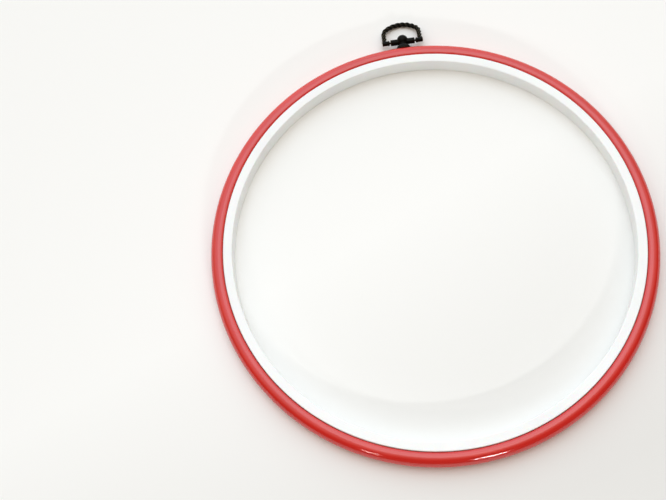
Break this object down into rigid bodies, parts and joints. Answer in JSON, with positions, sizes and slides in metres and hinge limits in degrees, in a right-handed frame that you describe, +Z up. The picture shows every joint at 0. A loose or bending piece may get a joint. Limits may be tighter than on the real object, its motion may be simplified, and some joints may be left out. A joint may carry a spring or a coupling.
{
  "type": "embroidery hoop",
  "caption": "Round embroidery hoop: rigid white inner ring, soft red outer ring stretched over it, and a swivelling dark metal hanger with a folding bow.",
  "frame": {"origin": "centre of the two rings in the plane of their back faces, which is the table that the hoop lies on", "axes": "+Z up through the front face, +Y out through the hanger, +X to the right of the hanger seen from the front"},
  "size_m": [0.2128, 0.2302, 0.0088],
  "materials": {
    "white_plastic": "moulded, satin",
    "red_vinyl": "soft moulded vinyl, satin",
    "antique_bronze": "cast, antiqued dark with worn edges",
    "plated_steel": "bright plated"
  },
  "bodies": {
    "inner_ring": {"inner_ring": "white_plastic"},
    "outer_ring": {"outer_ring": "red_vinyl", "hanger_collar": "antique_bronze", "hanger_washer": "plated_steel"},
    "hanger_head": {"hanger_head": "antique_bronze", "hanger_screw": "plated_steel"},
    "hanger_bow": {"hanger_bow": "antique_bronze"}
  },
  "joints": [
    {"name": "outer_ring_lift", "type": "slide", "parent": "inner_ring", "child": "outer_ring", "axis": [0, 0, 1], "range_m": [0, 0.03]},
    {"name": "hanger_swivel", "type": "hinge", "parent": "outer_ring", "child": "hanger_head", "pos_m": [0, 0.10795, 0.0044], "axis": [0, 1, 0], "continuous": true},
    {"name": "bow_swing", "type": "hinge", "parent": "hanger_head", "child": "hanger_bow", "pos_m": [0, 0.11055, 0.0044], "axis": [1, 0, 0], "range_deg": [-85, 115]}
  ]
}
